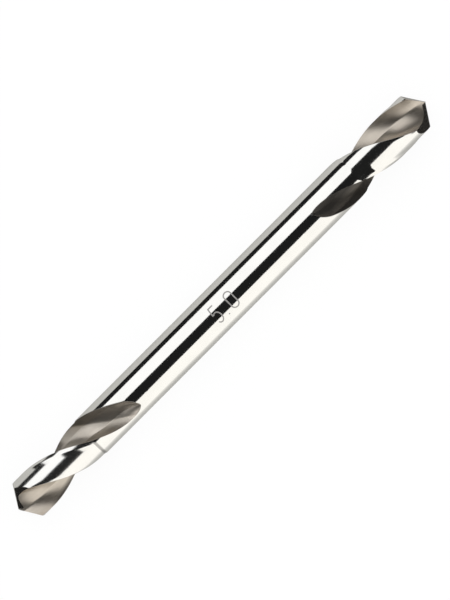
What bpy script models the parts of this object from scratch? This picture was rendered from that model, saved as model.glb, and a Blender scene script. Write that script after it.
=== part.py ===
"""Double-ended twist drill bit: one round bar with a short right-hand fluted end at each side of a plain shank.

Metres, +Z up. The drill's axis is X and its middle is the origin. Both ends are made by the same functions, in a tip
frame: the point's apex is on X at half the length, depth runs from there towards the shank, the lips run along Y, and
Z is the side that each lip cuts towards. Each end is then turned about the drill's axis by its own angle, and the
left end is the right end turned half a turn about Z.
"""

import math

import bmesh
import bpy
from mathutils import Matrix, Vector

MM = 0.001

# The bar
DIAMETER = 5.0 * MM
OVERALL_LENGTH = 64.0 * MM
BAR_SIDES = 72

# The flutes: the heel edges have a faster helix than the leading edges, so the flutes narrow towards the shank
HEEL_HELIX_ANGLE = math.radians(31.0)
LEADING_HELIX_ANGLE = math.radians(25.4)
LAND_ANGLE = math.radians(72.0)
FLUTE_LENGTH = 17.9 * MM
RUN_OUT_LENGTH = 5.6 * MM
WEB_THICKNESS = 1.0 * MM
WEB_GROWTH = 0.04
RAKE_FOOT_RADIUS = 0.78 * MM
HEEL_LEAN = math.radians(8.0)
HEEL_CURVE_LENGTH = 1.3 * MM

# The lands: a narrow margin along each leading edge, and a slightly smaller diameter behind it
MARGIN_WIDTH = 0.48 * MM
CLEARANCE_DEPTH = 0.085 * MM
CLEARANCE_LENGTH = 11.2 * MM

# The point: two primary facets that meet in the lips, and two gashes that split the point
POINT_ANGLE = math.radians(118.0)
LIP_OFFSET = 0.36 * MM
RELIEF_ANGLE = math.radians(12.0)
GASH_WALL_ANGLE = math.radians(44.0)
CHISEL_WEB = 0.16 * MM

# Each end: its turn about the drill's axis, how wide its primary facets are, and how steeply its gashes fall
RIGHT_TURN = math.radians(39.0)
RIGHT_PRIMARY_ANGLE = math.radians(26.0)
RIGHT_GASH_ANGLE = math.radians(52.4)
LEFT_TURN = math.radians(10.0)
LEFT_PRIMARY_ANGLE = math.radians(44.0)
LEFT_GASH_ANGLE = math.radians(49.5)

# Fineness of the cutters
SWEEP_STEP = math.radians(5.5)
RAKE_STEPS = 4
BOTTOM_STEPS = 10
LAND_STEPS = 8
SHOULDER_LENGTH = 0.03 * MM
CUTTER_REACH = 1.2 * MM

RADIUS = DIAMETER / 2
HALF_LENGTH = OVERALL_LENGTH / 2
HEEL_TURN = math.tan(HEEL_HELIX_ANGLE) / RADIUS
LEADING_TURN = math.tan(LEADING_HELIX_ANGLE) / RADIUS
LIP_SLOPE = 1 / math.tan(POINT_ANGLE / 2)
RELIEF_SLOPE = math.tan(RELIEF_ANGLE)


def clear_scene():
    for obj in list(bpy.data.objects):
        bpy.data.objects.remove(obj, do_unlink=True)


def new_collection(name):
    collection = bpy.data.collections.new(name)
    bpy.context.scene.collection.children.link(collection)
    return collection


def bright_steel():
    material = bpy.data.materials.new("bright_ground_steel")
    material.use_nodes = True
    shader = material.node_tree.nodes["Principled BSDF"]
    shader.inputs["Base Color"].default_value = (0.62, 0.60, 0.57, 1.0)
    shader.inputs["Metallic"].default_value = 1.0
    shader.inputs["Roughness"].default_value = 0.2
    return material


def mesh_object(name, mesh, collection):
    """Makes an object of a bmesh and frees the bmesh."""
    bmesh.ops.recalc_face_normals(mesh, faces=mesh.faces)
    data = bpy.data.meshes.new(name)
    mesh.to_mesh(data)
    mesh.free()
    obj = bpy.data.objects.new(name, data)
    collection.objects.link(obj)
    return obj


def make_cutter(obj):
    obj.hide_render = True
    obj.display_type = "WIRE"
    return obj


def cut(obj, cutter):
    """Takes the cutter's volume away from the object."""
    modifier = obj.modifiers.new("cut_" + cutter.name, "BOOLEAN")
    modifier.operation = "DIFFERENCE"
    modifier.solver = "EXACT"
    modifier.object = cutter


def cylinder(name, radius, start, end, collection):
    """A closed cylinder about the X axis between two places on it."""
    mesh = bmesh.new()
    along = Matrix.Translation(((start + end) / 2, 0, 0)) @ Matrix.Rotation(math.pi / 2, 4, "Y")
    bmesh.ops.create_cone(
        mesh,
        cap_ends=True,
        segments=BAR_SIDES,
        radius1=radius,
        radius2=radius,
        depth=abs(end - start),
        matrix=along,
    )
    return mesh_object(name, mesh, collection)


def polar(radius, angle):
    return Vector((radius * math.cos(angle), radius * math.sin(angle)))


def lip_depth(radius):
    """How far behind the apex the straight lip is at a radius."""
    along = math.sqrt(radius**2 - LIP_OFFSET**2)
    return LIP_SLOPE * along - RELIEF_SLOPE * LIP_OFFSET


def rake_point(radius, depth):
    """A point of the rake face, which turns with the leading edge and meets the point in a straight lip."""
    return polar(radius, math.asin(LIP_OFFSET / radius) + LEADING_TURN * (lip_depth(radius) - depth))


def leading_angle(depth):
    """Where the leading edge is at a depth. It starts at the lip's outer corner."""
    return math.asin(LIP_OFFSET / RADIUS) + LEADING_TURN * (lip_depth(RADIUS) - depth)


def heel_angle(depth):
    """Where the heel edge across the flute is at a depth."""
    start = math.asin(LIP_OFFSET / RADIUS) + math.pi - LAND_ANGLE
    return start + HEEL_TURN * (lip_depth(RADIUS) - depth)


def heel_direction(depth):
    """Outward along the flute's heel wall. The flute also runs out this way, so the heel edge stays true."""
    return polar(1.0, heel_angle(depth) - HEEL_LEAN)


def flute_bottom(depth, handle, shares):
    """Points of the curve from the foot of the rake face round the web to the heel edge, at shares of the way."""
    foot = rake_point(RAKE_FOOT_RADIUS, depth)
    inward = (foot - rake_point(RAKE_FOOT_RADIUS * 1.01, depth)).normalized()
    heel = polar(RADIUS, heel_angle(depth))
    controls = (foot, foot + inward * handle, heel - heel_direction(depth) * HEEL_CURVE_LENGTH, heel)
    points = []
    for t in shares:
        weights = ((1 - t) ** 3, 3 * t * (1 - t) ** 2, 3 * t**2 * (1 - t), t**3)
        points.append(sum((c * w for c, w in zip(controls, weights)), Vector((0, 0))))
    return points


def even_shares(steps):
    return [step / steps for step in range(1, steps + 1)]


def web_handle(depth):
    """The length of the curve's first handle that leaves the wanted web, which grows towards the shank."""
    wanted = (WEB_THICKNESS + WEB_GROWTH * max(depth, 0.0)) / 2
    short, long = 0.0, RADIUS
    for _ in range(30):
        middle = (short + long) / 2
        if min(point.length for point in flute_bottom(depth, middle, even_shares(30))) > wanted:
            short = middle
        else:
            long = middle
    return short


def flute_curve(depth, end=1.0):
    """The rake face, the web and the heel wall at a depth, from the leading edge to a share of the last curve."""
    span = RADIUS - RAKE_FOOT_RADIUS
    radii = [RAKE_FOOT_RADIUS + span * step / RAKE_STEPS for step in range(RAKE_STEPS, -1, -1)]
    rake = [rake_point(radius, depth) for radius in radii]
    shares = [share * end for share in even_shares(BOTTOM_STEPS)]
    return rake + flute_bottom(depth, web_handle(depth), shares)


def clearance_share(depth, shift):
    """The share of the last curve at which a moved flute meets the clearance radius."""
    handle = web_handle(depth)
    moved = heel_direction(depth) * shift
    inside, outside = 0.3, 1.0
    for _ in range(30):
        middle = (inside + outside) / 2
        point = flute_bottom(depth, handle, [middle])[0] + moved
        if point.length < RADIUS - CLEARANCE_DEPTH:
            inside = middle
        else:
            outside = middle
    return inside


def run_out_shift():
    """How far the flute's outline moves along the heel wall until it has left the bar."""
    outward = heel_direction(FLUTE_LENGTH)
    across = Vector((outward.y, -outward.x))
    inside = [point for point in flute_curve(FLUTE_LENGTH) if abs(point.dot(across)) < RADIUS]
    return max(math.sqrt(RADIUS**2 - point.dot(across) ** 2) - point.dot(outward) for point in inside)


def land_arc(start, radius, depth):
    """Points over the land behind the flute, from the flute's last point to the foot of the next margin."""
    first = math.atan2(start.y, start.x)
    last = leading_angle(depth) + math.pi - MARGIN_WIDTH / RADIUS
    first += 2 * math.pi * round((last - first) / (2 * math.pi))
    turn = (last - first) / LAND_STEPS
    return [polar(radius, first + turn * step) for step in range(1, LAND_STEPS + 1)]


def way_back(depth):
    """Points far outside the bar, from above the margin back to the flute's rake face."""
    far = RADIUS + 2 * CUTTER_REACH
    last = leading_angle(depth) + math.pi - MARGIN_WIDTH / RADIUS
    turn = last - leading_angle(depth)
    return [polar(far, last)] + [polar(far, last - turn * share) for share in (0.25, 0.5, 0.75)]


def flute_outline(depth, shift):
    """What is ground away at a depth: the flute, and behind it the land's clearance as far as that goes."""
    relieved = depth <= CLEARANCE_LENGTH
    end = clearance_share(depth, shift) if relieved else 1.0
    radius = RADIUS - CLEARANCE_DEPTH if relieved else RADIUS + CUTTER_REACH
    moved = heel_direction(depth) * shift
    first = rake_point(RADIUS + CUTTER_REACH, depth) + moved
    curve = [point + moved for point in flute_curve(depth, end)]
    return [first] + curve + land_arc(curve[-1], radius, depth) + way_back(depth)


def loft(name, outlines, half, collection):
    """Joins outlines, each with its depth, into a closed solid, turned about the drill's axis by half a turn or none."""
    mesh = bmesh.new()
    turned = Matrix.Rotation(half, 3, "X")
    rings = []
    for depth, outline in outlines:
        places = [turned @ Vector((HALF_LENGTH - depth, point.x, point.y)) for point in outline]
        rings.append([mesh.verts.new(place) for place in places])
    for before, after in zip(rings, rings[1:]):
        for near in range(len(before)):
            far = (near + 1) % len(before)
            mesh.faces.new((before[near], before[far], after[far], after[near]))
    mesh.faces.new(rings[0])
    mesh.faces.new(rings[-1])
    return mesh_object(name, mesh, collection)


def depths(start, end):
    """Depths from start to end, with one step for each small turn of the helix."""
    steps = max(1, round((end - start) * HEEL_TURN / SWEEP_STEP))
    return [start + (end - start) * step / steps for step in range(steps + 1)]


def flute_outlines():
    """Full depth first, then out of the bar along a parabola, as a grinding wheel leaves it."""
    full = FLUTE_LENGTH - RUN_OUT_LENGTH
    leave = run_out_shift()
    relieved = depths(-CUTTER_REACH / 2, CLEARANCE_LENGTH)
    plain = depths(CLEARANCE_LENGTH + SHOULDER_LENGTH, FLUTE_LENGTH + CUTTER_REACH / 4)
    outlines = []
    for depth in relieved + plain:
        share = max(depth - full, 0.0) / RUN_OUT_LENGTH
        outlines.append((depth, flute_outline(depth, leave * share**2)))
    return outlines


def plane_frame(normal):
    """A frame at the apex whose Z axis is the normal."""
    turned = normal.to_track_quat("Z", "Y").to_matrix().to_4x4()
    return Matrix.Translation((HALF_LENGTH, 0, 0)) @ turned


def block_outside(slope_y, slope_z, turn):
    """A bmesh block outside the plane through the apex that falls by these slopes along the tip's Y and Z."""
    size = 2 * (DIAMETER + CUTTER_REACH)
    mesh = bmesh.new()
    bmesh.ops.create_cube(mesh, size=size, matrix=Matrix.Translation((0, 0, size / 2)))
    frame = plane_frame(Vector((1.0, slope_y, slope_z)))
    bmesh.ops.transform(mesh, matrix=Matrix.Rotation(turn, 4, "X") @ frame, verts=mesh.verts)
    return mesh


def primary_cutter(side, label, turn, collection):
    """Takes away what stands outside one primary facet."""
    mesh = block_outside(LIP_SLOPE, -RELIEF_SLOPE, turn)
    return make_cutter(mesh_object("primary_" + side + "_" + label, mesh, collection))


def gash_cutter(side, label, turn, primary_angle, gash_angle, collection):
    """Splits the point: the floor falls towards the heel of the other land, and the wall thins this lip's inner end."""
    edge_slope = LIP_SLOPE * math.cos(primary_angle) + RELIEF_SLOPE * math.sin(primary_angle)
    fall = math.tan(gash_angle)
    along = (fall * math.sin(primary_angle) - edge_slope) / math.cos(primary_angle)
    mesh = block_outside(along, fall, turn)
    wall_normal = Vector((0, -math.sin(GASH_WALL_ANGLE), math.cos(GASH_WALL_ANGLE)))
    wall_normal.rotate(Matrix.Rotation(turn, 3, "X"))
    split = bmesh.ops.bisect_plane(
        mesh,
        geom=mesh.verts[:] + mesh.edges[:] + mesh.faces[:],
        plane_co=wall_normal * CHISEL_WEB / 2,
        plane_no=wall_normal,
        clear_inner=True,
    )
    rim = [part for part in split["geom_cut"] if isinstance(part, bmesh.types.BMEdge)]
    bmesh.ops.holes_fill(mesh, edges=rim, sides=0)
    return make_cutter(mesh_object("gash_" + side + "_" + label, mesh, collection))


def end_cutters(label, primary_angle, gash_angle, collection):
    """All cutters of one end, in the tip frame, in the order in which they cut."""
    halves = (("a", 0.0), ("b", math.pi))
    cutters = [primary_cutter(side, label, half, collection) for side, half in halves]
    for side, half in halves:
        cutters.append(gash_cutter(side, label, half, primary_angle, gash_angle, collection))
    outlines = flute_outlines()
    for side, half in halves:
        cutters.append(make_cutter(loft("flute_" + side + "_" + label, outlines, half, collection)))
    return cutters


def place_end(collection, label, matrix):
    """Turns every cutter of one end into its place on the bar."""
    for obj in collection.objects:
        if obj.name.endswith(label):
            obj.data.transform(matrix)


def finish(body, material):
    """Applies the cuts, and shades the round faces smooth up to the sharp edges."""
    graph = bpy.context.evaluated_depsgraph_get()
    data = bpy.data.meshes.new_from_object(body.evaluated_get(graph))
    data.name = body.name
    body.modifiers.clear()
    body.data = data
    data.materials.clear()
    data.materials.append(material)
    data.shade_smooth()
    data.set_sharp_from_angle(angle=math.radians(25))


def build():
    clear_scene()
    parts = new_collection("double_ended_drill_bit")
    cutters = new_collection("cutters")
    body = cylinder("drill_bit", RADIUS, -HALF_LENGTH - CUTTER_REACH, HALF_LENGTH + CUTTER_REACH, parts)
    half_turn = Matrix.Rotation(math.pi, 4, "Z")
    ends = (
        ("right", RIGHT_TURN, RIGHT_PRIMARY_ANGLE, RIGHT_GASH_ANGLE, Matrix.Identity(4)),
        ("left", LEFT_TURN, LEFT_PRIMARY_ANGLE, LEFT_GASH_ANGLE, half_turn),
    )
    for label, turn, primary_angle, gash_angle, side in ends:
        end = end_cutters(label, primary_angle, gash_angle, cutters)
        place_end(cutters, label, side @ Matrix.Rotation(turn, 4, "X"))
        for cutter in end:
            cut(body, cutter)
    finish(body, bright_steel())


build()
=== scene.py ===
"""Double-ended twist drill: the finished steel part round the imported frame, and a plain studio.

The bit's axis is X. Each end is worked out in a tip frame, where depth runs from the point's apex towards
the shank, and then turned about the axis and, for the left end, half a turn about Z.
"""

import math

import bmesh
import bpy
import numpy as np
from bpy.props import FloatProperty, FloatVectorProperty, IntProperty, PointerProperty
from mathutils import Matrix, Vector


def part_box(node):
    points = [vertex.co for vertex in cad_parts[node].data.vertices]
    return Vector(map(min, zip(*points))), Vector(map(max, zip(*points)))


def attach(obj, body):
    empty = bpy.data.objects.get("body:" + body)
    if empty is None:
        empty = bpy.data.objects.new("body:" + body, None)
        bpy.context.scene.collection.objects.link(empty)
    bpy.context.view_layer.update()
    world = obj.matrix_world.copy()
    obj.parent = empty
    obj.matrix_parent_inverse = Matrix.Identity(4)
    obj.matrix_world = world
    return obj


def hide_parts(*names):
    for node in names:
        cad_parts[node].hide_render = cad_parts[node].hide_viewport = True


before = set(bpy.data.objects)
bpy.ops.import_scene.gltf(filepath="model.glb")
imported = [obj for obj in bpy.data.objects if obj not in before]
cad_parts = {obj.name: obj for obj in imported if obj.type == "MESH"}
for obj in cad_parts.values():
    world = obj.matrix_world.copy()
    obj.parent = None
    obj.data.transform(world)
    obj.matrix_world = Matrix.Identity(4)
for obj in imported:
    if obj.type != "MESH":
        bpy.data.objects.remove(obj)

bl_info = {
    "name": "Double-ended drill bit",
    "version": (1, 0, 0),
    "blender": (4, 5, 0),
    "location": "View3D > Sidebar > Drill bit",
    "description": "Makes a ground steel double-ended twist drill and the studio that it lies in",
    "category": "Add Mesh",
}

MM = 0.001
CAD_NODE = "drill_bit"
CAD_LOW, CAD_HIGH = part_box(CAD_NODE)
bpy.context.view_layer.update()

# How finely each part of a section is divided
RAKE_POINTS = 120
WEB_POINTS = 360
COARSE_WEB_POINTS = 60
WALL_POINTS = 120
WEB_STEPS = 40
WALL_STEPS = 20
FLUTE_STEPS = WEB_STEPS + WALL_STEPS
ROUNDING_STEPS = 6
LAND_STEPS = 44
FOOT_STEPS = 8
MARGIN_STEPS = 10
HALF_STEPS = FLUTE_STEPS + ROUNDING_STEPS + LAND_STEPS + FOOT_STEPS + MARGIN_STEPS
SECTION_POINTS = HALF_STEPS + 1
GROUND_POINTS = FLUTE_STEPS + ROUNDING_STEPS + 1

# Where the sections stand along the bit
FIRST_STATION = -0.6 * MM
STATION_STEP = 0.16 * MM
FINE_STATION_STEP = 0.05 * MM
FINE_LENGTH = 0.9 * MM
SHOULDER_GAP = 0.04 * MM
BLEND_LENGTH = 5.0 * MM
BLEND_STATIONS = 36
WELD_DISTANCE = 0.001 * MM

# How far a flute's dense profile goes past the bar, and the place where the rake's direction is taken
OVERSHOOT = 0.4 * MM
JUST_OUTSIDE = 1.01

# About how wide a flute is as an angle, and how many halvings bring its web to the wanted thickness
USUAL_FLUTE_ANGLE = 1.5
WEB_HALVINGS = 30

# How dull the stepped lands are beside the polished shank, and how dark the painted shade is along the line
# that ends a left one
LEFT_DULLNESS = 1.0
RIGHT_DULLNESS = 0.35
SHOULDER_PAINTED_SHADE = 0.62

# Where the helices meet the flat start of the strips, which the points' cuts take away
SEAM_TURN = -0.25
SEAM_REACH = 0.6

SHARP_ANGLE = math.radians(24.0)
FEWEST_FACES = 1000

# The number's ribbons: how far they stand proud, how deep they go and how finely they are divided
NUMBER_RISE = 0.002 * MM
NUMBER_ROOT = -0.02 * MM
NUMBER_STEP = 0.07 * MM

# The picture, in pixels, with the bit's middle in it counted from the top left
PICTURE_WIDTH = 450
PICTURE_HEIGHT = 600
BIT_MIDDLE = (221.9, 305.4)

# The studio's colours and places
BLACK = (0.012, 0.012, 0.012)
SOOT = (0.035, 0.034, 0.032)
CREAM = (1.0, 0.98, 0.93)
WHITE = (1.0, 1.0, 0.99)
PALE_PAPER = (0.515, 0.51, 0.485)
# The paper's cream near side is painted light, as if the cream strip lit the floor there
PAINTED_LIGHT_PAPER = (0.98, 0.96, 0.91)
WHITE_CARD_GLOW = 1.12
FLOOR_GLOW = 0.93
FLOOR_REACH = 3.0
CARD_REACH = 1.5
PAPER_GAP = 0.01 * MM
NEAR_STRIP = -19.0 * MM
FAR_STRIP = 37.0 * MM
PAINTED_LIGHT_BEGINS = -6.5 * MM


def length_property(name, description, size):
    return FloatProperty(name=name, description=description, default=size, unit="LENGTH")


def angle_property(name, description, degrees):
    return FloatProperty(name=name, description=description, default=math.radians(degrees), subtype="ANGLE")


def plain_property(name, description, value):
    return FloatProperty(name=name, description=description, default=value)


def colour_property(name, description, value):
    return FloatVectorProperty(name=name, description=description, default=value, subtype="COLOR")


class DrillBitSizes(bpy.types.PropertyGroup):
    diameter: length_property("Diameter", "Diameter of shank and margins", CAD_HIGH.z - CAD_LOW.z)
    overall_length: length_property("Overall length", "Length from point to point", CAD_HIGH.x - CAD_LOW.x)
    flutes: IntProperty(name="Flutes", description="Number of flutes at each end", default=2, min=1)
    heel_helix: angle_property("Heel helix", "Helix angle of the heel edges", 31.0)
    leading_helix: angle_property("Leading helix", "Helix angle of the leading edges", 25.4)
    land_angle: angle_property("Land angle", "Angle that a land covers at its lip", 72.0)
    flute_length: length_property("Flute length", "Length of the flutes with their run-out", 17.9 * MM)
    run_out_length: length_property("Run-out length", "Length over which a flute leaves the bar", 5.6 * MM)
    web_thickness: length_property("Web", "Thickness of the core between the flutes at the point", 1.0 * MM)
    web_growth: plain_property("Web growth", "Growth of the web per length of flute", 0.04)
    rake_foot: length_property("Rake foot", "Radius at which the straight rake face ends", 0.78 * MM)
    heel_lean: angle_property("Heel lean", "Lean of the heel wall", 8.0)
    heel_curve: length_property("Heel curve", "Reach of the web's curve towards the heel wall", 0.55 * MM)
    heel_wall: length_property("Heel wall", "Straight part of the wall below the heel edge", 1.0 * MM)
    heel_crease: angle_property("Heel crease", "Turn at the foot of the heel wall", 14.0)
    heel_roll: length_property("Heel roll", "Fall of a land along its heel edge", 0.05 * MM)
    roll_width: length_property("Roll width", "Width over which a land falls to its heel edge", 0.45 * MM)
    heel_rounding: length_property("Heel rounding", "Radius of the worn heel edge", 0.03 * MM)
    margin_width: length_property("Margin width", "Width of the full-diameter strip", 0.48 * MM)
    foot_width: length_property("Foot width", "Width of the hollow slope up to a margin", 0.58 * MM)
    foot_power: plain_property("Foot power", "How hollow that slope is; one is straight", 2.0)
    clearance_depth: length_property("Clearance depth", "Step behind a margin", 0.085 * MM)
    clearance_length: length_property("Clearance length", "Length of the stepped lands", 11.2 * MM)
    right_shoulder: length_property("Right shoulder", "Slope that ends a right stepped land", 0.35 * MM)
    left_shoulder: length_property("Left shoulder", "Slope that ends a left stepped land", 0.20 * MM)
    point_angle: angle_property("Point angle", "Angle of the point", 118.0)
    lip_offset: length_property("Lip offset", "How far each lip is ahead of the axis", 0.36 * MM)
    relief_angle: angle_property("Lip relief", "Fall of the facets behind the lips", 12.0)
    gash_wall: angle_property("Gash wall", "Angle of the split point's walls", 44.0)
    chisel_web: length_property("Chisel web", "Thickness that is left between the gashes", 0.16 * MM)
    right_turn: angle_property("Right turn", "Turn of the right end about the axis", 39.0)
    right_primary: angle_property("Right facet", "Width of the right primary facets", 26.0)
    right_gash: angle_property("Right gash", "Fall of the right gashes", 52.4)
    right_leave: plain_property("Right run-out curve", "Power by which the right flutes leave the bar", 2.0)
    left_turn: angle_property("Left turn", "Turn of the left end about the axis", 10.0)
    left_primary: angle_property("Left facet", "Width of the left primary facets", 44.0)
    left_gash: angle_property("Left gash", "Fall of the left gashes", 49.5)
    left_leave: plain_property("Left run-out curve", "Power by which the left flutes leave the bar", 2.8)
    left_lag: angle_property("Left lag", "Lag of the left leading edges where the stepped lands end", 11.0)
    number_height: length_property("Number height", "Height of the size number on the shank", 2.2 * MM)
    number_place: length_property("Number place", "Middle of the number across the shank", -0.26 * MM)
    number_stroke: length_property("Number stroke", "Width of the number's strokes", 0.15 * MM)


class DrillBitFinish(bpy.types.PropertyGroup):
    shank: colour_property("Shank", "Colour of the bright ground shank", (0.88, 0.875, 0.86))
    # Painted shade: the colour of the dark line painted along the real shoulder step of a left land
    shoulder_painted_shade: colour_property("Shoulder line", "Colour of the line ending a land", (0.15, 0.145, 0.14))
    flute: colour_property("Flutes", "Colour of the ground flutes", (0.60, 0.545, 0.48))
    # Painted shade: the colour that the flutes are darkened towards where their reflections looked dark
    painted_shade: colour_property("Stain", "Colour of a flute where the wheel ran out", (0.115, 0.108, 0.10))
    # Painted highlight: the colour that the flutes are lightened towards where their reflections looked
    # bright
    painted_highlight: colour_property("Lit flutes", "Colour of a flute's brightest faces", (0.93, 0.875, 0.80))
    point: colour_property("Point", "Colour of the facets of the point", (0.34, 0.325, 0.31))
    number: colour_property("Number", "Colour of the etched number", (0.36, 0.35, 0.34))


class StudioSettings(bpy.types.PropertyGroup):
    picture_scale: plain_property("Picture scale", "Pixels for one millimetre of the bit", 8.995)
    picture_turn: angle_property("Picture turn", "Angle of the bit's axis in the picture", 45.06)
    lens: plain_property("Lens", "Focal length of the camera in millimetres", 300.0)


def at_depth(depth, millimetres, values):
    """A value at a depth, between the values at a few depths in millimetres."""
    return float(np.interp(depth / MM, millimetres, values))


def around(radii, angles):
    return np.stack([radii * np.cos(angles), radii * np.sin(angles)], axis=-1)


def angle_of(point):
    return math.atan2(point[1], point[0])


def nearest_turn(angle):
    return 2 * math.pi * round(angle / (2 * math.pi))


def rotated(points, angle):
    """Both coordinates of each point after a turn about the axis."""
    cosine, sine = math.cos(angle), math.sin(angle)
    return points[:, 0] * cosine - points[:, 1] * sine, points[:, 0] * sine + points[:, 1] * cosine


def distances(points):
    """How far each point is along the line through them all."""
    steps = np.linalg.norm(np.diff(points, axis=0), axis=1)
    return np.concatenate([[0.0], np.cumsum(steps)])


def resampled(points, places, wanted):
    """The points at the wanted places, between points at known places."""
    return np.stack([np.interp(wanted, places, points[:, axis]) for axis in (0, 1)], axis=-1)


def add_object(name, data):
    obj = bpy.data.objects.new(name, data)
    bpy.context.scene.collection.objects.link(obj)
    return obj


def finished_mesh(name, mesh, material):
    """A bmesh as mesh data in one material, with its faces turned outwards."""
    bmesh.ops.recalc_face_normals(mesh, faces=mesh.faces)
    data = bpy.data.meshes.new(name)
    mesh.to_mesh(data)
    mesh.free()
    data.materials.append(material)
    return data


class TipRule:
    """The shape of one end as a function of depth, from the sizes."""

    def __init__(self, sizes, left=False):
        self.sizes = sizes
        self.left = left
        self.leave_power = sizes.left_leave if left else sizes.right_leave
        self.dullness = LEFT_DULLNESS if left else RIGHT_DULLNESS
        self.shoulder = sizes.left_shoulder if left else sizes.right_shoulder
        self.radius = sizes.diameter / 2
        self.half_length = sizes.overall_length / 2
        self.heel_turn = math.tan(sizes.heel_helix) / self.radius
        self.leading_turn = math.tan(sizes.leading_helix) / self.radius
        self.lip_slope = 1 / math.tan(sizes.point_angle / 2)
        self.relief_slope = math.tan(sizes.relief_angle)
        self.corner_depth = self.lip_depth(self.radius)
        self.leave = self.run_out_shift()

    def lip_depth(self, radius):
        """The depth of the lip at a radius."""
        along = np.sqrt(radius**2 - self.sizes.lip_offset**2)
        return self.lip_slope * along - self.relief_slope * self.sizes.lip_offset

    def twist(self, depth):
        return self.heel_turn * (self.corner_depth - depth)

    def lag(self, depth):
        """How far a left leading edge has fallen behind its helix."""
        if not self.left:
            return 0.0
        places = (2.5, 8.0, self.sizes.clearance_length / MM)
        return self.sizes.left_lag * at_depth(depth, places, (0.0, 0.4, 1.0))

    def rake(self, radius, depth):
        """The rake face's point at a radius: the lip, carried along the leading edge's helix."""
        turn = self.leading_turn * (self.lip_depth(radius) - depth) - self.lag(depth)
        return around(radius, np.arcsin(self.sizes.lip_offset / radius) + turn)

    def heel_angle(self, depth):
        start = math.asin(self.sizes.lip_offset / self.radius) + math.pi - self.sizes.land_angle
        return start + self.twist(depth)

    def heel_point(self, depth):
        return around(self.radius, self.heel_angle(depth))

    def heel_direction(self, depth, turned=0.0):
        return around(1.0, self.heel_angle(depth) - self.sizes.heel_lean + turned)

    def painted_shade_line(self, depth):
        """Where across the bit, in radii, the painted shade begins in a left flute, with a painted highlight
        just before it.
        """
        return at_depth(depth, (10.4, 11.8, 14.0, 16.0, 17.3), (0.98, 0.58, -0.06, -0.57, -0.9))

    def bottom(self, depth, handle, count):
        """From the foot of the rake face round the web to the foot of the heel wall."""
        foot = self.rake(self.sizes.rake_foot, depth)
        inward = foot - self.rake(self.sizes.rake_foot * JUST_OUTSIDE, depth)
        inward = inward / np.linalg.norm(inward)
        wall_foot = self.heel_point(depth) - self.heel_direction(depth) * self.sizes.heel_wall
        arriving = self.heel_direction(depth, self.sizes.heel_crease)
        near_wall = wall_foot - arriving * self.sizes.heel_curve
        t = np.linspace(0, 1, count + 1)[1:, None]
        near_foot = foot + inward * handle
        curve = (1 - t) ** 3 * foot + 3 * t * (1 - t) ** 2 * near_foot
        return curve + 3 * t**2 * (1 - t) * near_wall + t**3 * wall_foot

    def handle(self, depth):
        """The first handle's length that leaves the wanted web."""
        wanted = (self.sizes.web_thickness + self.sizes.web_growth * max(depth, 0.0)) / 2
        short, long = 0.0, self.radius
        for _ in range(WEB_HALVINGS):
            middle = (short + long) / 2
            if np.linalg.norm(self.bottom(depth, middle, COARSE_WEB_POINTS), axis=1).min() > wanted:
                short = middle
            else:
                long = middle
        return short

    def flute(self, depth):
        """A dense flute profile, from outside the leading edge to outside the heel edge."""
        radii = np.linspace(self.radius + OVERSHOOT, self.sizes.rake_foot, RAKE_POINTS)
        curve = np.concatenate([self.rake(radii, depth), self.bottom(depth, self.handle(depth), WEB_POINTS)])
        wall = np.linspace(0, self.sizes.heel_wall + OVERSHOOT, WALL_POINTS + 1)[1:, None]
        return np.concatenate([curve, curve[-1] + wall * self.heel_direction(depth)])

    def run_out_shift(self):
        """How far the flute's profile moves along the heel wall until it has left the bar."""
        depth = self.sizes.flute_length
        outward = self.heel_direction(depth)
        across = np.array([outward[1], -outward[0]])
        curve = self.flute(depth)
        side = curve @ across
        inside = np.abs(side) < self.radius
        reach = np.sqrt(self.radius**2 - side[inside] ** 2) - curve[inside] @ outward
        return reach.max()

    def shift(self, depth):
        """How far the flute's profile has moved out of the bar."""
        full = self.sizes.flute_length - self.sizes.run_out_length
        share = max(depth - full, 0.0) / self.sizes.run_out_length
        return self.leave * share**self.leave_power

    def stepped(self, depth):
        """One along the stepped lands, and nothing past the slope that ends them."""
        past = (depth - self.sizes.clearance_length) / self.shoulder
        return 1 - min(max(past, 0.0), 1.0)

    def land_radius(self, depth):
        """The radius behind the margin, stepped down as far as the clearance goes."""
        return self.radius - self.sizes.clearance_depth * self.stepped(depth)

    def heel_radius(self, depth):
        """The radius of the heel edge, where the land falls a little more."""
        shares = (1.0, 0.8, 0.5) if self.left else (1.5, 1.0, 0.2)
        roll = self.sizes.heel_roll * at_depth(depth, (2.5, 4.0, 6.5), shares)
        return self.land_radius(depth) - roll * self.stepped(depth)


def first_crossing(curve, radius):
    """The dense curve from the place where it comes inside a radius, or None if it stays outside."""
    lengths = np.linalg.norm(curve, axis=1)
    inside = np.nonzero(lengths < radius)[0]
    if len(inside) == 0:
        return None
    first = inside[0]
    if first == 0:
        return curve
    share = (lengths[first - 1] - radius) / (lengths[first - 1] - lengths[first])
    start = curve[first - 1] + (curve[first] - curve[first - 1]) * share
    return np.concatenate([start[None], curve[first:]])


def clipped_flute(rule, depth):
    """The part of the flute's profile inside the bar, from the leading edge to the heel edge."""
    curve = rule.flute(depth) + rule.heel_direction(depth) * rule.shift(depth)
    curve = first_crossing(curve, rule.radius)
    if curve is None:
        return None
    curve = first_crossing(curve[::-1], rule.heel_radius(depth))
    return None if curve is None else curve[::-1]


def spaced(rule, depth, curve):
    """A flute's points at even spaces on each side of the crease at the foot of the heel wall."""
    along = distances(curve)
    length = along[-1]
    to_crease = rule.sizes.heel_wall - rule.shift(depth)
    crease = rule.heel_point(depth) - rule.heel_direction(depth) * to_crease
    near = np.linalg.norm(curve - crease, axis=1).argmin()
    split = min(max(along[near], 0.1 * length), 0.96 * length)
    web, wall = np.linspace(0, split, WEB_STEPS + 1), np.linspace(split, length, WALL_STEPS + 1)
    return resampled(curve, along, np.concatenate([web, wall[1:]])), length


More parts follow.
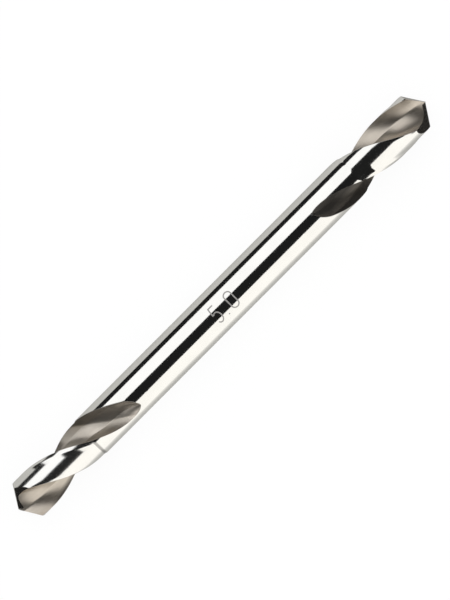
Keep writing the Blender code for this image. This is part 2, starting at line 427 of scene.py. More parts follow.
def rounded_heel(flute, land_start, size):
    """Puts a small curve in place of the sharp heel edge."""
    wall = flute[WEB_STEPS:]
    length = np.linalg.norm(wall[-1] - wall[0])
    back = min(size / max(length, 1e-9), 0.4)
    share = np.linspace(0, 1, len(wall))
    kept = share * (1 - back)
    cut = resampled(wall, share, kept)
    t = np.linspace(0, 1, ROUNDING_STEPS + 1)[1:, None]
    curve = (1 - t) ** 2 * cut[-1] + 2 * t * (1 - t) * flute[-1] + t**2 * land_start
    return np.concatenate([flute[:WEB_STEPS], cut]), curve


def land_points(rule, depth, start, end, start_radius):
    """The land from behind the heel edge to the next leading edge: clearance, foot of the margin, margin."""
    sizes = rule.sizes
    radius = rule.radius
    inner = rule.land_radius(depth)
    span = end - start
    margin = min(sizes.margin_width / radius, 0.3 * span)
    foot = min(sizes.foot_width / radius, 0.4 * span)
    land_end = end - margin - foot
    land = start + (land_end - start) * np.linspace(0, 1, LAND_STEPS + 1)[1:]
    rise = np.linspace(0, 1, FOOT_STEPS + 1)[1:]
    from_heel = 1 - (land - start) * inner / min(sizes.roll_width, 0.5 * (land_end - start) * inner)
    flat = around(inner - (inner - start_radius) * np.clip(from_heel, 0.0, 1.0) ** 2, land)
    slope = around(inner + (radius - inner) * rise**sizes.foot_power, land_end + foot * rise)
    edge = end - margin + margin * np.linspace(0, 1, MARGIN_STEPS + 1)[1:]
    return np.concatenate([flat, slope, around(radius, edge)])


def half_section(rule, depth):
    """Half of the bit's outline at a depth, between its leading edges, or None past the flutes' end."""
    curve = clipped_flute(rule, depth)
    if curve is None or len(curve) < 3:
        return None
    flute, length = spaced(rule, depth, curve)
    heel, lead = angle_of(flute[-1]), angle_of(flute[0])
    lead += nearest_turn(rule.heel_angle(depth) - USUAL_FLUTE_ANGLE - lead)
    heel += nearest_turn(lead + USUAL_FLUTE_ANGLE - heel)
    edge = rule.heel_radius(depth)
    size = rule.sizes.heel_rounding
    start = heel + min(size, 0.25 * length) / edge
    cut, curve = rounded_heel(flute, around(edge, start), size)
    return np.concatenate([cut, curve, land_points(rule, depth, start, lead + math.pi, edge)])


def stations(rule):
    """Depths of the sections: even, with the shoulder's two edges and finer ones where the flutes end."""
    sizes = rule.sizes
    shoulder = [sizes.clearance_length, sizes.clearance_length + rule.shoulder]
    fine = sizes.flute_length - FINE_LENGTH
    even = list(np.arange(FIRST_STATION, fine, STATION_STEP))
    even = [depth for depth in even if min(abs(depth - edge) for edge in shoulder) > SHOULDER_GAP]
    last = list(np.arange(fine, sizes.flute_length, FINE_STATION_STEP))
    return sorted(even + shoulder + last)


def end_sections(rule, turn):
    """All half sections of one end, each with its depth, out to the middle of the bit."""
    made = [(depth, half_section(rule, depth)) for depth in stations(rule)]
    made = [(depth, section) for depth, section in made if section is not None]
    last = made[-1][1]
    centre = angle_of(last[FLUTE_STEPS // 2])
    shut = rule.sizes.flute_length
    angles = np.unwrap([angle_of(point) for point in last])
    angles += centre - angles[FLUTE_STEPS // 2]
    angles[:GROUND_POINTS] = centre
    angles = centre + (angles - centre) * math.pi / (angles[-1] - centre)
    spacing = math.pi / HALF_STEPS
    middle = (FLUTE_STEPS + ROUNDING_STEPS) // 2
    first = round((centre + turn) / spacing) * spacing - turn - middle * spacing
    even = first + spacing * np.arange(SECTION_POINTS)
    for step in range(BLEND_STATIONS + 1):
        share = step / BLEND_STATIONS
        ease = share * share * (3 - 2 * share)
        made.append((shut + BLEND_LENGTH * share, around(rule.radius, angles + (even - angles) * ease)))
    made.append((rule.half_length, around(rule.radius, even)))
    return made


def straightened(rule, depth, section):
    """The section with the heel edges' helix taken out, which the node tree puts back."""
    return [(rule.half_length - depth, *place) for place in zip(*rotated(section, -rule.twist(depth)))]


def seen_place(rule, section, turn):
    """Each point's place across the bit as seen from above or below, and its height, both in radii."""
    across, up = rotated(section, turn)
    side = -1.0 if rule.left else 1.0
    return side * across / rule.radius, up / rule.radius


def right_painted_light_and_shade(depth):
    """Painted shade over the run-out of a right flute, a painted highlight on its heel wall before that and a
    painted highlight streak along its crease.
    """
    place = np.arange(GROUND_POINTS)
    dark = at_depth(depth, (9.2, 10.4), (0.0, 1.0))
    wall = at_depth(depth, (0.5, 2.0, 8.0, 9.2), (0.2, 0.6, 0.6, 0.0))
    crease_highlight = at_depth(depth, (10.5, 12.5, 17.5), (0.0, 0.25, 0.35))
    on_wall = np.interp(place, (WEB_STEPS - 4, WEB_STEPS + 4), (0.0, 1.0))
    on_crease = np.interp(place, (WEB_STEPS - 12, WEB_STEPS, WEB_STEPS + 6), (0.0, 1.0, 0.0))
    return dark - wall * on_wall - crease_highlight * on_crease


def left_painted_light_and_shade(rule, depth, section, turn):
    """Painted shade in a left flute past a line across it, a painted highlight beside that line, a painted
    pale band, and painted shade along its leading edge and at its rim near the bit's outline.
    """
    across, up = seen_place(rule, section[:GROUND_POINTS], turn)
    low = across if across.mean() < 0 else -across
    low = low - at_depth(depth, (4.2, 7.2), (0.0, 0.22))
    rim = at_depth(depth, (2.8, 4.2, 7.4, 7.8), (0.0, 1.0, 1.0, 0.0))
    across = across if up.mean() > 0 else -across
    past = across - rule.painted_shade_line(depth)
    over = across - across[0]
    begun = at_depth(depth, (10.0, 11.0), (0.0, 1.0))
    edge = at_depth(depth, (8.0, 9.5, 11.5, 13.0, 14.5), (0.0, 0.4, 0.6, 0.4, 0.0))
    pale = at_depth(depth, (7.6, 9.0, 10.6, 11.6), (0.0, 0.7, 0.7, 0.0))
    streaked = at_depth(depth, (15.6, 17.0), (0.0, 0.9))
    streaks = 0.5 + 0.5 * np.sin(np.linspace(0, 9 * math.pi, GROUND_POINTS))
    # Painted shade past the line, broken by painted highlight streaks near the flute's end, with a painted
    # highlight just before the line
    dark = np.interp(past, (-0.01, 0.05), (0.0, 0.70)) * (1 - streaks * streaked)
    light = np.interp(past, (-0.8, -0.3, -0.06, 0.0), (0.2, 0.4, 1.0, 0.0))
    painted_shade = (dark - light) * begun
    # A painted pale band across the flute's middle, then painted shade along its leading edge and at its rim
    painted_shade -= pale * np.interp(over, (0.2, 0.4, 0.75, 0.95), (0.0, 1.0, 1.0, 0.0))
    painted_shade += edge * np.interp(over, (0.0, 0.15, 0.32), (1.0, 0.9, 0.0))
    return painted_shade + rim * np.interp(low, (-1.0, -0.9, -0.72), (0.95, 0.8, 0.0))


def painted_light_and_shade(rule, depth, section, turn):
    """How much painted shade each point of a half section has, less than nothing for a painted highlight."""
    painted_shade = np.zeros(SECTION_POINTS)
    if depth < rule.sizes.flute_length:
        painted_shade[:GROUND_POINTS] = left_painted_light_and_shade(rule, depth, section, turn) if rule.left else right_painted_light_and_shade(depth)
    past_step = (depth - rule.sizes.clearance_length) / rule.shoulder
    # On a left end's lands at the shoulder, painted shade for the dark line there
    if rule.left and -0.1 < past_step < 1.1:
        painted_shade[GROUND_POINTS:] = SHOULDER_PAINTED_SHADE
    return painted_shade


def land_tilt(rule, depth, section, turn):
    """How much each point's surface leans round the axis on the stepped lands, as a tangent."""
    across, up = seen_place(rule, section, turn)
    place = across * np.where(up < 0, -1.0, 1.0)
    if rule.left:
        lean = np.interp(place, (-0.75, -0.35, 0.2, 0.55), (0.0, 4.7, 4.7, 0.0))
    else:
        lean = np.interp(place, (-0.6, -0.3, 0.1, 0.25, 0.55), (0.0, 3.0, 7.5, 8.0, 0.0))
        worn = at_depth(depth, (9.35, 9.6), (0.0, 1.0))
        lean -= worn * np.interp(place, (-0.66, -0.58, -0.36, -0.08), (0.0, 16.0, 12.0, 0.0))
    return np.tan(np.radians(lean)) * rule.stepped(depth)


def strip_mesh(sizes):
    """One straightened half of each end in one mesh, with the marks that the tree and the materials read."""
    verts, faces, flute, grain = [], [], [], []
    marks = {"left_end": [], "land_tilt": [], "painted_light_and_shade": [], "land_dullness": []}
    for side, turn in enumerate((sizes.right_turn, sizes.left_turn)):
        rule = TipRule(sizes, left=side == 1)
        sections = end_sections(rule, turn)
        start = len(verts)
        for depth, section in sections:
            verts.extend(straightened(rule, depth, section))
            grain.extend((along, depth) for along in distances(section))
            marks["land_tilt"].extend(land_tilt(rule, depth, section, turn))
            marks["painted_light_and_shade"].extend(painted_light_and_shade(rule, depth, section, turn))
            marks["land_dullness"].extend([rule.stepped(depth) * rule.dullness] * SECTION_POINTS)
        for row in range(len(sections) - 1):
            is_flute_row = sections[row][0] < rule.sizes.flute_length - FINE_STATION_STEP
            for column in range(HALF_STEPS):
                a = start + row * SECTION_POINTS + column
                faces.append((a, a + SECTION_POINTS, a + SECTION_POINTS + 1, a + 1))
                flute.append(is_flute_row and column < FLUTE_STEPS + ROUNDING_STEPS // 2)
        centre = len(verts)
        depth = sections[0][0]
        below_rake = Matrix.Rotation(SEAM_TURN, 2) @ Vector(rule.rake(SEAM_REACH * rule.radius, depth))
        verts.extend(straightened(rule, depth, np.array([(0.0, 0.0), below_rake, -below_rake])))
        faces.append((centre, centre + 1, *range(start, start + SECTION_POINTS), centre + 2))
        flute.append(True)
        grain.extend([(0.0, 0.0)] * (len(verts) - centre))
        marks["left_end"].extend([side] * (len(verts) - start))
        for values in marks.values():
            values.extend([0.0] * (len(verts) - len(values)))
    mesh = bpy.data.meshes.new("drill_bit_strips")
    mesh.from_pydata(verts, [], faces)
    for name, values in marks.items():
        attribute = mesh.attributes.new(name, "FLOAT", "POINT")
        attribute.data.foreach_set("value", np.array(values, dtype=np.float32))
    attribute = mesh.attributes.new("flute_face", "BOOLEAN", "FACE")
    attribute.data.foreach_set("value", np.array(flute, dtype=bool))
    corners = np.zeros(len(mesh.loops), dtype=np.int32)
    mesh.loops.foreach_get("vertex_index", corners)
    uv = mesh.uv_layers.new(name="grain")
    uv.data.foreach_set("uv", np.array(grain, dtype=np.float32)[corners].ravel())
    return mesh


class NodeMaker:
    """Short calls that add nodes to a tree and join them."""

    def __init__(self, tree):
        self.tree = tree

    def feed(self, socket, source):
        """Gives a socket another node's output, or a value."""
        if isinstance(source, bpy.types.NodeSocket):
            self.tree.links.new(source, socket)
        else:
            socket.default_value = source

    def node(self, kind, sources=(), **settings):
        """A new node; each source goes to the input with the name or the number before it."""
        node = self.tree.nodes.new(kind)
        for name, value in settings.items():
            setattr(node, name, value)
        for place, source in sources:
            self.feed(node.inputs[place], source)
        return node

    def math(self, operation, *sources):
        return self.node("ShaderNodeMath", enumerate(sources), operation=operation).outputs[0]


class TreeMaker(NodeMaker):
    """A geometry node tree with its named inputs."""

    def __init__(self, name, inputs):
        super().__init__(bpy.data.node_groups.new(name, "GeometryNodeTree"))
        self.add_socket("Geometry", "Geometry", "INPUT")
        self.add_socket("Geometry", "Geometry", "OUTPUT")
        self.identifiers = {label: self.add_socket(label, kind, "INPUT").identifier for label, kind in inputs}
        self.given = self.tree.nodes.new("NodeGroupInput").outputs

    def add_socket(self, name, kind, side):
        return self.tree.interface.new_socket(name=name, in_out=side, socket_type="NodeSocket" + kind)

    def marked(self, name, kind):
        """A named attribute of the mesh."""
        node = self.node("GeometryNodeInputNamedAttribute", [("Name", name)], data_type=kind)
        return node.outputs["Attribute"]

    def on_mesh(self, kind, *sources):
        """A node that makes or changes geometry."""
        return self.node(kind, sources).outputs[0]


def drill_tree():
    """Twists the straight strips into helices, turns each end into its place, repeats them round the axis."""
    inputs = [(name, "Float") for name in ("Half length", "Radius", "Corner depth", "Weld distance")]
    inputs += [(name, "Float") for name in ("Helix angle", "Right turn", "Left turn")]
    inputs += [("Flutes", "Int"), ("Land material", "Material"), ("Flute material", "Material")]
    make = TreeMaker("twisted_drill_ends", inputs)
    given = make.given
    position = make.node("GeometryNodeInputPosition").outputs[0]
    x = make.node("ShaderNodeSeparateXYZ", [(0, position)]).outputs["X"]
    depth = make.math("SUBTRACT", given["Half length"], x)
    per_length = make.math("DIVIDE", make.math("TANGENT", given["Helix angle"]), given["Radius"])
    twist = make.math("MULTIPLY", make.math("SUBTRACT", given["Corner depth"], depth), per_length)
    is_left = make.marked("left_end", "FLOAT")
    change = make.math("SUBTRACT", given["Left turn"], given["Right turn"])
    angle = make.math("ADD", twist, make.math("MULTIPLY_ADD", is_left, change, given["Right turn"]))
    place = position
    for turn, axis in ((angle, "X_AXIS"), (make.math("MULTIPLY", is_left, math.pi), "Z_AXIS")):
        sources = [("Vector", place), ("Angle", turn)]
        place = make.node("ShaderNodeVectorRotate", sources, rotation_type=axis).outputs[0]
    ends = make.on_mesh("GeometryNodeSetPosition", ("Geometry", given["Geometry"]), ("Position", place))
    line = make.on_mesh("GeometryNodeMeshLine", ("Count", given["Flutes"]), ("Offset", (0.0, 0.0, 0.0)))
    index = make.node("GeometryNodeInputIndex").outputs[0]
    share = make.math("DIVIDE", make.math("MULTIPLY", index, 2 * math.pi), given["Flutes"])
    rotation = make.node("ShaderNodeCombineXYZ", [("X", share)]).outputs[0]
    sources = [("Points", line), ("Instance", ends), ("Rotation", rotation)]
    copies = make.on_mesh("GeometryNodeInstanceOnPoints", *sources)
    real = make.on_mesh("GeometryNodeRealizeInstances", ("Geometry", copies))
    sources = [("Geometry", real), ("Distance", given["Weld distance"])]
    welded = make.on_mesh("GeometryNodeMergeByDistance", *sources)
    sources = [("Geometry", welded), ("Material", given["Land material"])]
    lands = make.on_mesh("GeometryNodeSetMaterial", *sources)
    sources = [("Geometry", lands), ("Selection", make.marked("flute_face", "BOOLEAN"))]
    flutes = make.on_mesh("GeometryNodeSetMaterial", *sources, ("Material", given["Flute material"]))
    make.node("NodeGroupOutput", [(0, flutes)])
    return make


def block_outside(rule, slope_y, slope_z, turn):
    """A bmesh block outside the plane through the apex that falls by these slopes along the tip's Y and Z."""
    size = 4 * rule.radius
    mesh = bmesh.new()
    bmesh.ops.create_cube(mesh, size=size, matrix=Matrix.Translation((0, 0, size / 2)))
    frame_turn = Vector((1.0, slope_y, slope_z)).to_track_quat("Z", "Y").to_matrix().to_4x4()
    matrix = Matrix.Rotation(turn, 4, "X") @ Matrix.Translation((rule.half_length, 0, 0)) @ frame_turn
    bmesh.ops.transform(mesh, matrix=matrix, verts=mesh.verts)
    return mesh


def gash_block(rule, turn, primary, gash):
    """What one gash of the split point takes away."""
    sizes = rule.sizes
    edge = rule.lip_slope * math.cos(primary) + rule.relief_slope * math.sin(primary)
    fall = math.tan(gash)
    mesh = block_outside(rule, (fall * math.sin(primary) - edge) / math.cos(primary), fall, turn)
    normal = Vector((0, -math.sin(sizes.gash_wall), math.cos(sizes.gash_wall)))
    normal.rotate(Matrix.Rotation(turn, 3, "X"))
    geometry = mesh.verts[:] + mesh.edges[:] + mesh.faces[:]
    split = bmesh.ops.bisect_plane(
        mesh, geom=geometry, plane_co=normal * sizes.chisel_web / 2, plane_no=normal, clear_inner=True
    )
    rim = [part for part in split["geom_cut"] if isinstance(part, bmesh.types.BMEdge)]
    bmesh.ops.holes_fill(mesh, edges=rim, sides=0)
    return mesh


def point_cutters(rule, material):
    """The blocks that grind both points, each with the finish that it leaves."""
    sizes = rule.sizes
    cutters = []
    ends = (
        (sizes.right_turn, sizes.right_primary, sizes.right_gash, Matrix.Identity(4)),
        (sizes.left_turn, sizes.left_primary, sizes.left_gash, Matrix.Rotation(math.pi, 4, "Z")),
    )
    for end_turn, primary, gash, side in ends:
        blocks = [block_outside(rule, rule.lip_slope, -rule.relief_slope, half) for half in (0.0, math.pi)]
        blocks += [gash_block(rule, half, primary, gash) for half in (0.0, math.pi)]
        for mesh in blocks:
            bmesh.ops.transform(mesh, matrix=side @ Matrix.Rotation(end_turn, 4, "X"), verts=mesh.verts)
            cutters.append(add_object("point_cutter", finished_mesh("point_cutter", mesh, material)))
    return cutters


class MaterialMaker(NodeMaker):
    """A material and short calls for its nodes."""

    def __init__(self, name):
        self.material = bpy.data.materials.new(name)
        self.material.use_nodes = True
        super().__init__(self.material.node_tree)
        self.shader = self.tree.nodes["Principled BSDF"]

    def place(self):
        return self.node("ShaderNodeTexCoord").outputs["Object"]

    def attribute(self, name):
        return self.node("ShaderNodeAttribute", attribute_name=name).outputs["Fac"]

    def stretched_noise(self, source, scale, detail=3.0):
        """Noise in coordinates that are scaled by different amounts along each axis."""
        stretched = self.node("ShaderNodeMapping", [("Vector", source), ("Scale", scale)]).outputs[0]
        sources = [("Vector", stretched), ("Scale", 1.0), ("Detail", detail)]
        return self.node("ShaderNodeTexNoise", sources).outputs["Fac"]

    def spread(self, source, low, high):
        """The noise's usual range brought to two values."""
        limits = [("From Min", 0.3), ("From Max", 0.7), ("To Min", low), ("To Max", high)]
        return self.node("ShaderNodeMapRange", [("Value", source)] + limits).outputs[0]

    def tint(self, share, first, second):
        """A colour between two, each of them an output or three numbers."""
        ends = [end if isinstance(end, bpy.types.NodeSocket) else (*end, 1.0) for end in (first, second)]
        sources = [("Factor", share), ("A", ends[0]), ("B", ends[1])]
        return self.node("ShaderNodeMix", sources, data_type="RGBA").outputs["Result"]

    def mottled(self, noise, colour, dark, light):
        """A colour that a noise takes between two shares of itself."""
        ends = [tuple(min(1.0, channel * share) for channel in colour) for share in (dark, light)]
        return self.tint(self.spread(noise, 0.0, 1.0), *ends)

    def bump(self, height, distance, *sources):
        return self.node("ShaderNodeBump", [("Height", height), ("Distance", distance), *sources]).outputs[0]

    def vector(self, operation, *sources):
        return self.node("ShaderNodeVectorMath", sources, operation=operation).outputs[0]

    def leaning(self, name):
        """The surface's direction, leant round the bit's axis by an attribute."""
        normal = self.node("ShaderNodeNewGeometry").outputs["Normal"]
        side = self.vector("CROSS_PRODUCT", (0, (1.0, 0.0, 0.0)), (1, normal))
        step = self.vector("SCALE", (0, side), ("Scale", self.attribute(name)))
        return self.vector("NORMALIZE", (0, self.vector("ADD", (0, normal), (1, step))))

    def steel(self, colour, roughness, normal=None, metallic=1.0):
        """Gives the shader its inputs, and returns the material."""
        sources = {"Base Color": colour, "Roughness": roughness, "Metallic": metallic, "Normal": normal}
        for name, source in sources.items():
            if source is not None:
                self.feed(self.shader.inputs[name], source)
        return self.material

    def ending_in(self, surface):
        """Puts another shader in the usual one's place, and returns the material."""
        self.tree.nodes.remove(self.shader)
        self.feed(self.tree.nodes["Material Output"].inputs["Surface"], surface.outputs[0])
        return self.material


def shank_steel(colour, shoulder_shade_colour):
    """Centreless ground and polished: near a mirror, with very fine lines round the bar and duller lands."""
    make = MaterialMaker("bright_ground_shank")
    place = make.place()
    lines = make.stretched_noise(place, (16000.0, 500.0, 500.0), 4.0)
    clouds = make.stretched_noise(place, (300.0, 500.0, 500.0), 2.0)
    # Along a left shoulder the attribute paints a line of shade in the shoulder line's colour
    marked = make.tint(make.attribute("painted_light_and_shade"), make.mottled(clouds, colour, 0.97, 1.02), shoulder_shade_colour)
    rough = make.math("MULTIPLY_ADD", make.attribute("land_dullness"), 0.085, make.spread(lines, 0.06, 0.11))
    return make.steel(marked, rough, make.bump(lines, 0.0003 * MM, ("Normal", make.leaning("land_tilt"))))


def flute_steel(colour, painted_shade_colour, painted_highlight_colour):
    """Ground along the helix and not polished: softer, browner reflections, with painted shade and painted
    highlights on some faces.
    """
    make = MaterialMaker("ground_flute")
    grain = make.node("ShaderNodeUVMap", uv_map="grain").outputs[0]
    lines = make.stretched_noise(grain, (14000.0, 350.0, 1.0), 4.0)
    clouds = make.stretched_noise(grain, (900.0, 300.0, 1.0), 2.0)
    # Where the attribute is above nothing it paints shade, where it is below nothing it paints a highlight
    mark = make.attribute("painted_light_and_shade")
    painted_dark = make.tint(mark, make.mottled(clouds, colour, 0.92, 1.06), painted_shade_colour)
    painted_highlight = make.tint(make.math("MULTIPLY", mark, -1.0), painted_dark, painted_highlight_colour)
    rough = make.math("MULTIPLY_ADD", make.math("ABSOLUTE", mark), 0.3, make.spread(lines, 0.30, 0.42))
    return make.steel(painted_highlight, rough, make.bump(lines, 0.002 * MM))


def point_steel(colour):
    """The facets of the point, with straight grinding lines."""
    make = MaterialMaker("ground_point")
    lines = make.stretched_noise(make.place(), (1500.0, 14000.0, 9000.0))
    rough = make.spread(lines, 0.2, 0.3)
    return make.steel(make.mottled(lines, colour, 0.9, 1.08), rough, make.bump(lines, 0.001 * MM))


class DRILLBIT_OT_bit(bpy.types.Operator):
    """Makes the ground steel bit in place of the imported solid"""

    bl_idname = "drillbit.make_bit"
    bl_label = "Make the drill bit"

    def execute(self, context):
        sizes = context.scene.drill_bit_sizes
        finish = context.scene.drill_bit_finish
        rule = TipRule(sizes)
        land = shank_steel(finish.shank, finish.shoulder_painted_shade)
        flute = flute_steel(finish.flute, finish.painted_shade, finish.painted_highlight)
        point = point_steel(finish.point)
        source = add_object("drill_bit_source", strip_mesh(sizes))
        source.data.materials.append(land)
        make = drill_tree()
        values = {
            "Half length": rule.half_length,
            "Radius": rule.radius,
            "Corner depth": rule.corner_depth,
            "Helix angle": sizes.heel_helix,
            "Right turn": sizes.right_turn,
            "Left turn": sizes.left_turn,
            "Flutes": sizes.flutes,
            "Weld distance": WELD_DISTANCE,
            "Land material": land,
            "Flute material": flute,
        }
        modifier = source.modifiers.new("twisted_ends", "NODES")
        modifier.node_group = make.tree
        for name, value in values.items():
            modifier[make.identifiers[name]] = value
        cutters = point_cutters(rule, point)
        for cutter in cutters:
            cut = source.modifiers.new("grind", "BOOLEAN")
            cut.operation = "DIFFERENCE"
            cut.solver = "EXACT"
            cut.material_mode = "TRANSFER"
            cut.object = cutter
        graph = context.evaluated_depsgraph_get()
        mesh = bpy.data.meshes.new_from_object(source.evaluated_get(graph))
        mesh.name = "ground_drill_bit"
        for obj in [source] + cutters:
            bpy.data.objects.remove(obj, do_unlink=True)
        mesh.shade_smooth()
        mesh.set_sharp_from_angle(angle=SHARP_ANGLE)
        piece = add_object("ground_drill_bit", mesh)
        if len(mesh.polygons) < FEWEST_FACES:
            raise RuntimeError("the cuts at the points have left no drill bit")
        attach(piece, "root")
        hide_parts(CAD_NODE)
        return {"FINISHED"}


def etched_steel(colour):
    """Matt and fine grained, as an electric pen or acid leaves it."""
    make = MaterialMaker("etched_number")
    grain = make.stretched_noise(make.place(), (20000.0, 20000.0, 20000.0))
    return make.steel(make.mottled(grain, colour, 0.85, 1.15), make.spread(grain, 0.55, 0.75), metallic=0.5)


def arc(middle, reach, start, end, count=14):
    """Points on an ellipse, between two angles in degrees."""
    angles = np.radians(np.linspace(start, end, count))
    return [(middle[0] + reach[0] * math.cos(a), middle[1] + reach[1] * math.sin(a)) for a in angles]


def number_strokes():
    """The size number's strokes, in heights of the number, each with whether it closes on itself."""
    five = [(-0.35, 0.97), (-0.66, 0.97), (-0.70, 0.56)] + arc((-0.53, 0.32), (0.20, 0.29), 125, -140, 22)
    nought = arc((0.54, 0.78), (0.21, 0.19), 0, 180, 16) + arc((0.54, 0.22), (0.21, 0.19), 180, 360, 16)
    dot = [(-0.02, 0.02), (-0.02, 0.08)]
    return [(five, False), (dot, False), (nought, True)]


def divided(line, closed, step):
    """A line with no step longer than this one."""
    points = list(line) + ([line[0]] if closed else [])
    made = []
    for a, b in zip(points[:-1], points[1:]):
        count = max(1, math.ceil(math.dist(a, b) / step))
        for i in range(count):
            made.append((a[0] + (b[0] - a[0]) * i / count, a[1] + (b[1] - a[1]) * i / count))
    return made if closed else made + [points[-1]]


def add_stroke(mesh, line, closed, width, radius):
    """A closed ribbon that lies in the shank's surface and stands two micrometres proud of it."""
    count = len(line)
    corners = [(share, NUMBER_RISE) for share in (1, 0, -1)] + [(share, NUMBER_ROOT) for share in (-1, 1)]
    rows = []
    for i, (x, y) in enumerate(line):
        before = line[(i - 1) % count] if closed or i else line[i]
        after = line[(i + 1) % count] if closed or i < count - 1 else line[i]
        along = Vector((after[0] - before[0], after[1] - before[1])).normalized()
        side = Vector((-along.y, along.x)) * width / 2
        row = []
        for share, reach in corners:
            across = y + side.y * share
            up = math.sqrt((radius + reach) ** 2 - across**2)
            row.append(mesh.verts.new((x + side.x * share, across, up)))
        rows.append(row)
    pairs = list(zip(rows, rows[1:])) + ([(rows[-1], rows[0])] if closed else [])
    for one, two in pairs:
        for k in range(len(corners)):
            mesh.faces.new((one[k - 1], two[k - 1], two[k], one[k]))
    if not closed:
        mesh.faces.new(rows[0])
        mesh.faces.new(rows[-1][::-1])


class DRILLBIT_OT_number(bpy.types.Operator):
    """Makes the plain size number etched on the shank"""

    bl_idname = "drillbit.make_number"
    bl_label = "Make the size number"

    def execute(self, context):
        sizes = context.scene.drill_bit_sizes
        height = sizes.number_height
        mesh = bmesh.new()
        for line, closed in number_strokes():
            placed = [(x * height, (y - 0.5) * height + sizes.number_place) for x, y in line]
            fine = divided(placed, closed, NUMBER_STEP)
            add_stroke(mesh, fine, closed, sizes.number_stroke, sizes.diameter / 2)
        steel = etched_steel(context.scene.drill_bit_finish.number)
        piece = add_object("size_number", finished_mesh("size_number", mesh, steel))
        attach(piece, "root")
        return {"FINISHED"}


def plane_object(name, corners, material):
    mesh = bpy.data.meshes.new(name)
    mesh.from_pydata(corners, [], [tuple(range(len(corners)))])
    mesh.materials.append(material)
    obj = add_object(name, mesh)
    return obj


def level_corners(low, high, level):
    """The corners of a level rectangle, from its lowest and its highest x and y."""
    flat = ((low[0], low[1]), (high[0], low[1]), (high[0], high[1]), (low[0], high[1]))
    return [(x, y, level) for x, y in flat]


def card_material(name, colour, strength):
    make = MaterialMaker(name)
    sources = [("Color", (*colour, 1.0)), ("Strength", strength)]
    return make.ending_in(make.node("ShaderNodeEmission", sources))


def floor_material():
    """White to the camera and in reflections, except for the bit's own soft shadow."""
    make = MaterialMaker("white_floor")
    matt = make.node("ShaderNodeBsdfDiffuse", [("Color", (0.95, 0.95, 0.95, 1.0))])
    glow = make.node("ShaderNodeEmission", [("Color", (1.0, 1.0, 1.0, 1.0))])
    rays = make.node("ShaderNodeLightPath").outputs
    seen = make.math("MAXIMUM", rays["Is Camera Ray"], rays["Is Glossy Ray"])
    seen = make.math("MAXIMUM", seen, rays["Is Transmission Ray"])
    share = make.math("MULTIPLY", seen, FLOOR_GLOW)
    sources = [(0, share), (1, matt.outputs[0]), (2, glow.outputs[0])]
    return make.ending_in(make.node("ShaderNodeMixShader", sources))


def paper_material():
    """Pale grey paper under the bit that turns cream towards the near side: painted light, brighter towards
    the cream strip card.
    """
    make = MaterialMaker("pale_paper")
    y = make.node("ShaderNodeSeparateXYZ", [(0, make.place())]).outputs["Y"]
    limits = [("Value", y), ("From Min", PAINTED_LIGHT_BEGINS), ("From Max", NEAR_STRIP)]
    colour = make.tint(make.node("ShaderNodeMapRange", limits).outputs[0], PALE_PAPER, PAINTED_LIGHT_PAPER)
    return make.ending_in(make.node("ShaderNodeBsdfDiffuse", [("Color", colour)]))


def only_for_steel(obj):
    """Shows an object of the studio in reflections alone."""
    obj.visible_camera = False
    obj.visible_shadow = False
    obj.visible_diffuse = False


def card(name, points, colour, strength=1.0):
    """A card that only the steel sees."""
    only_for_steel(plane_object(name, points, card_material(name, colour, strength)))


def strip_card(name, near, far, colour, strength=1.0):
    """A card along the bit's axis, between two lines that are given by their y and z."""
    points = [(-CARD_REACH, *near), (CARD_REACH, *near), (CARD_REACH, *far), (-CARD_REACH, *far)]
    card(name, points, colour, strength)


def long_card(name, near, far, distance, colour, strength=1.0):
    """A long card beside the bit's axis, between two angles from straight up, positive towards +Y."""
    lines = [(distance * math.sin(angle), distance * math.cos(angle)) for angle in np.radians((near, far))]
    strip_card(name, *lines, colour, strength)


def sky_card(name, directions, distance, colour):
    """A card in the sky: each corner is given by its angles from straight up, towards +X and towards +Y."""
    points = []
    for x, y in directions:
        polar = math.radians(math.hypot(x, y))
        turn = math.atan2(y, x)
        flat = distance * math.sin(polar)
        points.append((flat * math.cos(turn), flat * math.sin(turn), distance * math.cos(polar)))
    card(name, points, colour)


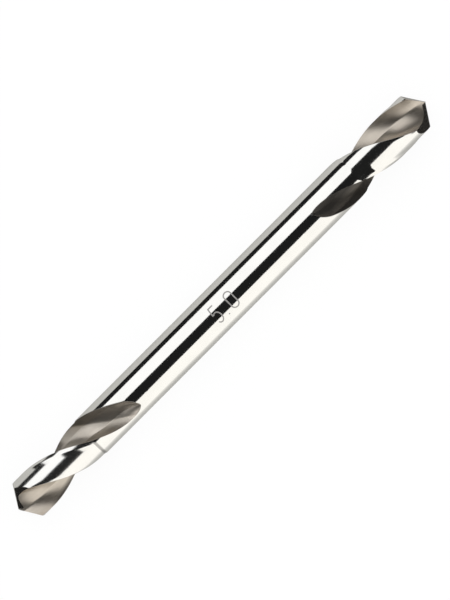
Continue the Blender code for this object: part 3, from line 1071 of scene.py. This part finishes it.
class DRILLBIT_OT_stage(bpy.types.Operator):
    """Makes the floor, the cards that the steel reflects, the light and the camera"""

    bl_idname = "drillbit.make_stage"
    bl_label = "Make the studio"

    def execute(self, context):
        scene = context.scene
        floor = -scene.drill_bit_sizes.diameter / 2 - PAPER_GAP
        self.add_papers(floor)
        self.add_cards(floor)
        self.add_light(scene)
        self.add_camera(scene, scene.drill_bit_studio)
        scene.view_settings.view_transform = "Standard"
        return {"FINISHED"}

    def add_papers(self, floor):
        corners = level_corners((-FLOOR_REACH, -FLOOR_REACH), (FLOOR_REACH, FLOOR_REACH), floor)
        plane_object("floor", corners, floor_material())
        corners = level_corners((-FLOOR_REACH, NEAR_STRIP), (FLOOR_REACH, FAR_STRIP), floor + PAPER_GAP)
        only_for_steel(plane_object("pale_paper", corners, paper_material()))
        corners = level_corners((31.3 * MM, -20.0 * MM), (60.0 * MM, -2.5 * MM), floor + 2 * PAPER_GAP)
        card("black_paper_right", corners, SOOT)

    def add_cards(self, floor):
        """The bands along the shank are the long and low cards; the others darken the two ends."""
        long_card("black_card_overhead", -38.5, 10.5, 1.0, BLACK)
        long_card("white_card_far_side", 11.0, 72.0, 1.3, WHITE, WHITE_CARD_GLOW)
        long_card("cream_card_near_side", -92.0, -39.0, 1.3, CREAM, WHITE_CARD_GLOW)
        far_top, near_top = (FAR_STRIP, 15.9 * MM), (NEAR_STRIP, 12.0 * MM)
        strip_card("black_strip_far_side", (FAR_STRIP, floor), far_top, BLACK)
        strip_card("cream_strip_near_side", (NEAR_STRIP, floor), near_top, CREAM, WHITE_CARD_GLOW)
        sky_card("black_card_left", [(-14, -26), (-27, -14), (-80, -38), (-48, -74)], 0.9, BLACK)
        sky_card("black_card_right", [(34, -3), (17, -30), (52, -72), (89, 6)], 0.9, BLACK)
        for name, *places in (("right", 38.0, -36.0, 26.0, 22.0), ("left", -38.0, -14.0, 20.0, 12.0)):
            x, low, high, top = [place * MM for place in places]
            corners = [(x, low, floor), (x, high, floor), (x, high, top), (x, low, top)]
            card("black_wall_" + name, corners, SOOT)

    def add_light(self, scene):
        scene.world = bpy.data.worlds.new("studio")
        scene.world.use_nodes = True
        background = scene.world.node_tree.nodes["Background"]
        background.inputs["Color"].default_value = (1.0, 1.0, 1.0, 1.0)
        background.inputs["Strength"].default_value = 1.0
        lamp = bpy.data.lights.new("soft_box", "AREA")
        lamp.shape = "RECTANGLE"
        lamp.size = 1.0
        lamp.size_y = 0.6
        lamp.energy = 2.0
        soft_box = add_object("soft_box", lamp)
        soft_box.location = (0.0, 0.55, 0.75)
        soft_box.rotation_euler = Vector(soft_box.location).to_track_quat("Z", "X").to_euler()
        soft_box.visible_glossy = False
        soft_box.visible_camera = False

    def add_camera(self, scene, studio):
        """Looks straight down, with the bit's middle a little off the picture's."""
        data = bpy.data.cameras.new("camera")
        data.sensor_width = 36.0
        data.lens = studio.lens
        data.clip_start = 0.01
        data.clip_end = 20.0
        scale = studio.picture_scale / MM
        right = Vector((math.cos(studio.picture_turn), -math.sin(studio.picture_turn), 0.0))
        up = Vector((math.sin(studio.picture_turn), math.cos(studio.picture_turn), 0.0))
        middle = right * (PICTURE_WIDTH / 2 - BIT_MIDDLE[0]) + up * (BIT_MIDDLE[1] - PICTURE_HEIGHT / 2)
        height = PICTURE_HEIGHT / scale * data.lens / data.sensor_width
        camera = add_object("camera", data)
        camera.location = middle / scale + Vector((0.0, 0.0, height))
        camera.rotation_euler = (0.0, 0.0, -studio.picture_turn)
        scene.camera = camera


class DRILLBIT_PT_panel(bpy.types.Panel):
    """Lists what can be made"""

    bl_idname = "DRILLBIT_PT_panel"
    bl_label = "Drill bit"
    bl_space_type = "VIEW_3D"
    bl_region_type = "UI"
    bl_category = "Drill bit"

    def draw(self, context):
        layout = self.layout
        scene = context.scene
        for group in (scene.drill_bit_sizes, scene.drill_bit_finish, scene.drill_bit_studio):
            for name in group.__annotations__:
                layout.prop(group, name)
        layout.operator(DRILLBIT_OT_bit.bl_idname)
        layout.operator(DRILLBIT_OT_number.bl_idname)
        layout.operator(DRILLBIT_OT_stage.bl_idname)


CLASSES = (
    DrillBitSizes,
    DrillBitFinish,
    StudioSettings,
    DRILLBIT_OT_bit,
    DRILLBIT_OT_number,
    DRILLBIT_OT_stage,
    DRILLBIT_PT_panel,
)


def register():
    for cls in CLASSES:
        bpy.utils.register_class(cls)
    bpy.types.Scene.drill_bit_sizes = PointerProperty(type=DrillBitSizes)
    bpy.types.Scene.drill_bit_finish = PointerProperty(type=DrillBitFinish)
    bpy.types.Scene.drill_bit_studio = PointerProperty(type=StudioSettings)


def unregister():
    del bpy.types.Scene.drill_bit_studio
    del bpy.types.Scene.drill_bit_finish
    del bpy.types.Scene.drill_bit_sizes
    for cls in reversed(CLASSES):
        bpy.utils.unregister_class(cls)


def main():
    register()
    bpy.ops.drillbit.make_bit()
    bpy.ops.drillbit.make_number()
    bpy.ops.drillbit.make_stage()


if __name__ == "__main__":
    main()
